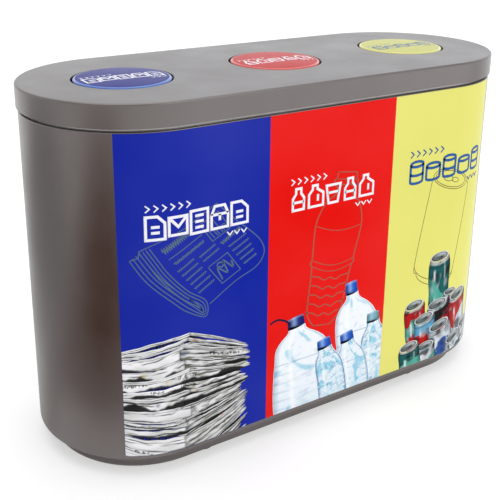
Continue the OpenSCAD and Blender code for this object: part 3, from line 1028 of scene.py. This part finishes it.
def bottle_picture(art, x, high, half, lean, cap, layer, seed, tint, neck, shoulders):
    """A clear water bottle with a white halo and a screw cap, given in millimetres and shares."""
    x, high, half, lean, low = x * MM, high * MM, half * MM, lean * MM, PANEL_BOTTOM - 16 * MM
    outline = bottle_outline(neck, shoulders)

    def spot(s, t, halo=0.0):
        reach = half * width_at(outline, t) + halo
        return x + (2 * s - 1) * reach + lean * t ** 1.6, low + (high - low + halo) * t

    art.patch(lambda s, t: spot(s, t, HALO_W), lambda s, t: HALO, 4, 40, layer)
    art.patch(spot, lambda s, t: water_ink(s, t, seed, tint), 56, 110, layer + 1)
    cap_height, slope = max((high - low) * 0.11, 20 * MM), lean / (high - low) * 0.9
    screw_cap(art, x + lean, high - 2 * MM, half * neck * 1.05, cap_height, slope, cap, layer + 1)


METAL, DARK = linear(176, 182, 184), linear(8, 14, 16)
CAN_SHINE, RIM_SHINE = (0.80, 0.86, 0.87), (0.92, 0.93, 0.93)


def can_ink(s, t, wall, band, seed):
    """Plain paint with one band and bare ends, dents as dark and bare patches, and two lines of light."""
    sweep = t + 0.16 * sin(s * 4 + seed) + 0.10 * speckle(s * 4, t * 4, seed)
    colour = band if 0.30 < sweep < 0.62 else wall
    shine = crisp(speckle(s * 2, t * 6, seed + 12), -0.12, 3)
    return layered(
        colour,
        (tuple(c * 0.3 for c in colour), 0.6 * crisp(speckle(s * 5, t * 6, seed + 2), 0.16, 4)),
        (METAL, t > 0.96 or t < 0.03),
        (METAL, 0.5 * crisp(speckle(s * 5, t * 8, seed), 0.28, 4)),
        (DARK, 0.75 * abs(2 * s - 1) ** 4 + 0.2 * bell(s, 0.52, 0.12)),
        (DARK, 0.8 * crisp(speckle(s * 3.4, t * 5, seed + 6), 0.16, 4)),
        (CAN_SHINE, shine * (0.8 * bell(s, 0.28, 0.04) + 0.4 * bell(s, 0.74, 0.03))),
        (DARK, 0.6 * bell(t, 0.925, 0.012)))


def can_top_ink(s, t):
    """A metal end with a groove, a bright rim and the dark drinking hole."""
    angle = 2 * pi * s
    hole = bell(t * cos(angle), 0.22, 0.26) * bell(t * sin(angle), -0.2, 0.36)
    return layered(
        linear(96, 104, 104),
        (METAL, 0.4 + 0.6 * sin(angle + 0.8)),
        (DARK, 0.9 * bell(t, 0.80, 0.06)),
        (RIM_SHINE, 0.85 * bell(t, 0.95, 0.05)),
        (DARK, 0.97 * hole))


def can_picture(art, foot, top, half, wall, band, layer, seed):
    """An empty drinks can on a slant, dented, with plain bands and no marks, given in millimetres."""
    foot, top = in_mm(foot, top)
    half *= MM
    along = top - foot
    across = Vector((along.y, -along.x)).normalized()
    tilt = along.normalized() * half * 0.40

    def spot(s, t):
        reach = 2 * s - 1
        dent = 1 + 0.09 * speckle(t * 3.5, reach, seed)
        neck = 1 - 0.12 * max(0.0, (t - 0.91) * 11) - 0.12 * max(0.0, (0.06 - t) * 16)
        bow = tilt * -sqrt(max(0.0, 1 - reach * reach)) * (0.7 + 0.3 * t)
        return tuple(foot + along * t + across * reach * half * dent * neck + bow)

    def top_spot(s, t):
        angle = 2 * pi * s
        return tuple(top + across * t * half * 0.86 * cos(angle) + tilt * t * 0.86 * sin(angle))

    art.patch(spot, lambda s, t: can_ink(s, t, wall, band, seed), 44, 60, layer)
    art.patch(top_spot, can_top_ink, 40, 14, layer + 1)


def bottles(art):
    """Five bottles, those behind first, and the carrying strap of the biggest."""
    blue, navy, teal = linear(34, 96, 206), linear(26, 40, 128), linear(120, 176, 186)
    # middle, top, half width and lean in mm, cap, layer, seed, tint, neck, shoulders
    for row in ((92, 256, 56, -36, blue, 1, 3.1, 0.15, 0.25, 0.86),
                (128, 180, 37, -14, teal, 3, 8.4, 0.70, 0.42, 0.86),
                (-40, 220, 80, -34, navy, 5, 1.7, 0.15, 0.23, 0.72),
                (76, 154, 36, -26, blue, 7, 5.2, 0.45, 0.44, 0.86),
                (20, 156, 34, -26, blue, 9, 6.6, 0.65, 0.46, 0.86)):
        bottle_picture(art, *row)
    strap = curve_through(in_mm((-134, 240), (-116, 244), (-98, 236), (-88, 226)))
    art.stroke(strap, 4 * MM, linear(22, 22, 60), 11)


def cans(art):
    """Eleven cans in a heap."""
    teal, mint, red = linear(22, 96, 96), linear(84, 172, 158), linear(186, 22, 26)
    sky, silver, coal = linear(96, 166, 206), linear(206, 214, 222), linear(34, 20, 22)
    navy = linear(50, 84, 156)
    # foot, top and half width in mm, wall, band, layer, seed
    for row in (((298, 110), (286, 279), 30, teal, mint, 1, 4.5),
                ((304, 76), (290, 170), 32, coal, red, 3, 7.3),
                ((330, 70), (326, 190), 22, coal, silver, 2, 6.2),
                ((378, 46), (356, 176), 33, red, silver, 5, 1.2),
                ((240, 78), (224, 184), 29, red, mint, 5, 9.1),
                ((274, 46), (254, 146), 31, sky, red, 7, 3.6),
                ((410, 20), (400, 92), 28, silver, red, 7, 5.8),
                ((330, 10), (300, 118), 33, silver, navy, 9, 2.4),
                ((376, -4), (352, 74), 31, silver, teal, 11, 8.1),
                ((272, 4), (264, 78), 28, silver, mint, 11, 0.7),
                ((228, 14), (216, 90), 29, teal, mint, 13, 8.8)):
        can_picture(art, *row)


DRAW_LINES = per_side(draw_newspaper, draw_bottle, draw_can)
DRAW_LITTER = per_side(paper_stack, bottles, cans)
SIGN_X = per_side(-279 * MM, 0, 291 * MM)
SIGN_Y = 453 * MM
BADGE_Y, BADGE_SCALE = -20 * MM, 0.76


def make_picture(side, word):
    """The panel's line drawing, then the litter over it, then the sign on top."""
    middle, inset = PANEL_CENTRE[side], 0.4 * MM
    picture = Print((middle - PANEL_W / 2 + inset, middle + PANEL_W / 2 - inset, PANEL_BOTTOM + inset))
    DRAW_LINES[side](picture, LINE_COLOURS[side])
    DRAW_LITTER[side](picture)
    sign(picture, side, SIGN_X[side], SIGN_Y, SIGN_SCALE[side], 15)
    picture.piece("printed_picture_" + side, on_panel, "body", "vinyl_" + word)


def make_badge(side, word):
    badge = Print((-LABEL_R, LABEL_R, -LABEL_R))
    sign(badge, side, 0, BADGE_Y, BADGE_SCALE, 1)
    badge.piece("printed_badge_" + side, on_label(side), side + "_flap", "vinyl_" + word)


# ---- Stage, light and camera ----

BIN_MIDDLE = Vector((0, 0, 0.35))


def area_light(name, place_at, size, watts):
    """A rectangular light aimed at the middle of the bin."""
    data = bpy.data.lights.new(name, "AREA")
    data.shape, data.size, data.size_y = "RECTANGLE", size[0], size[1]
    data.energy = watts
    light = show(name, data)
    light.location = place_at
    light.rotation_euler = (BIN_MIDDLE - Vector(place_at)).to_track_quat("-Z", "Y").to_euler()


def make_world():
    """White studio surroundings, brightest at the back right and dimmest at the front left."""
    w = Nodes("studio", world=True)
    facing = w.add("ShaderNodeVectorMath")
    facing.operation = "DOT_PRODUCT"
    w.feed(facing.inputs[0], w.coords)
    w.feed(facing.inputs[1], (0.8, 0.6, 0))
    share = w.range(facing.outputs["Value"], 0, 1, -1, 1)
    w.set(Color=w.ramp(share, [(0.1, (0.76, 0.74, 0.73)), (1.0, (1.12, 1.14, 1.18))]))
    bpy.context.scene.world = w.material


def card_material(name, middle, rim, solid, glow):
    """A matt card, solid by this share, that changes colour towards its rim and fades out at its edge."""
    m = Nodes(name)
    m.set(Specular_IOR_Level=0.0, Emission_Color=(1, 1, 1, 1), Emission_Strength=glow)
    reach = m.add("ShaderNodeVectorMath")
    reach.operation = "LENGTH"
    m.feed(reach.inputs[0], m.coords)
    m.colour(m.ramp(reach.outputs["Value"], [(0.0, middle), (1.0, rim)]))
    m.set(Alpha=m.range(reach.outputs["Value"], solid, 0.0, 0.50, 1.0))
    return m.material


def make_card(name, place_at, turn, size, *looks):
    """An oval card on the floor beside the bin, where only reflections show it."""
    sides = 32
    card = mesh_piece(name, [(x, y, 0) for x, y in oval(0, 0, 1, 1, 0, 360, sides)[:-1]],
                      [tuple(range(sides))], card_material(name, *looks))
    card.location = place_at
    card.rotation_euler = (0, 0, radians(turn))
    card.scale = (*size, 1)
    card.visible_camera = card.visible_diffuse = card.visible_shadow = False


def make_floor():
    half = 30.0
    corners = [(x * half, y * half, 0) for x, y in ((-1, -1), (1, -1), (1, 1), (-1, 1))]
    mesh_piece("studio_floor", corners, [(0, 1, 2, 3)], floor_material())


def make_cards():
    """What the paint mirrors: brown and grey at the left end, and light at its foot and on the right."""
    brown, brown_rim = linear(108, 50, 2), linear(112, 64, 24)
    dull, dull_rim = linear(104, 102, 104), linear(124, 124, 126)
    make_card("grey_card", (-1.85, 1.0, 0.004), 145, (1.9, 1.2), dull, dull_rim, 0.62, 0.0)
    make_card("white_card", (3.1, -2.9, 0.004), 0, (1.7, 1.5), WHITE, WHITE, 1.0, 1.0)
    make_card("brown_card", (-1.43, -0.81, 0.008), 41, (1.42, 0.80), brown, brown_rim, 1.0, 0.0)
    make_card("foot_card", (-0.49, -0.17, 0.012), 41, (0.12, 0.34), WHITE, WHITE, 0.42, 0.8)


def make_lights():
    area_light("overhead", (0.2, 0.6, 3.2), (4.0, 3.0), 18)
    area_light("front_fill", (0.9, -3.0, 1.9), (2.4, 1.6), 14)
    sun = bpy.data.lights.new("skylight", "SUN")
    sun.energy, sun.angle = 0.55, radians(60)
    show("skylight", sun)


def make_camera():
    """The photo's own view: from the left front, a little above the lid."""
    data = bpy.data.cameras.new("camera")
    data.lens = 61.4
    data.shift_y = -0.17
    data.clip_start, data.clip_end = 0.05, 100
    camera = show("camera", data)
    yaw, pitch, roll = radians(32.45), radians(17.93), radians(0.57)
    level = Matrix.Rotation(-yaw, 4, "Z") @ Matrix.Rotation(pi / 2 - pitch, 4, "X")
    place_at = Matrix.Translation((-0.915, -1.353, 0.997))
    camera.matrix_world = place_at @ (level @ Matrix.Rotation(roll, 4, "Z"))
    bpy.context.scene.camera = camera


make_camera()
make_world()
make_floor()
make_cards()
make_lights()
make_shell()
make_plinth()
make_lid()
for side, word in WORDS.items():
    make_flap(side, word)
    make_label(side, word)
    make_panel(side, word)
for side, word in WORDS.items():
    make_picture(side, word)
    make_badge(side, word)
bpy.context.scene.view_settings.view_transform = "Standard"
